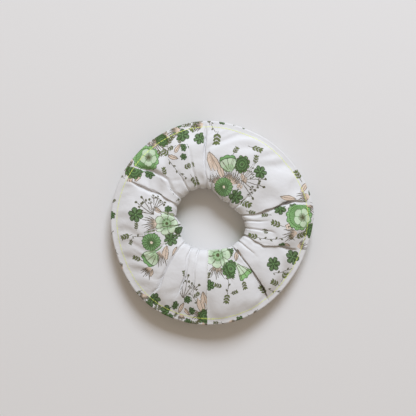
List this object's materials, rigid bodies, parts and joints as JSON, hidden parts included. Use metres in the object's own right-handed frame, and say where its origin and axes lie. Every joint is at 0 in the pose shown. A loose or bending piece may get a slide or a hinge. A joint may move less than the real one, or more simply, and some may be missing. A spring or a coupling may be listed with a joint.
{
  "type": "hair scrunchie",
  "caption": "Gathered fabric ring for tying hair, a folded strip of printed cotton over an elastic loop, topstitched round its outer edge.",
  "frame": {"origin": "centre of the round outer edge, on the plane that the scrunchie rests on", "axes": "+Z along the ring's axis, up from the surface; +Y away from the cross seam that joins the strip's ends"},
  "size_m": [0.12, 0.12, 0.0181],
  "materials": {
    "printed_cotton": "matt cotton lawn, white with a green floral print",
    "braided_elastic": "white braided elastic",
    "white_thread": "white polyester sewing thread",
    "lime_thread": "pale lime polyester sewing thread"
  },
  "bodies": {
    "root": {"cover": "printed_cotton", "elastic_band": "braided_elastic", "elastic_join_thread": "white_thread", "cross_seam_thread": "white_thread", "topstitch_needle_thread": "lime_thread", "topstitch_bobbin_thread": "lime_thread"}
  },
  "joints": []
}
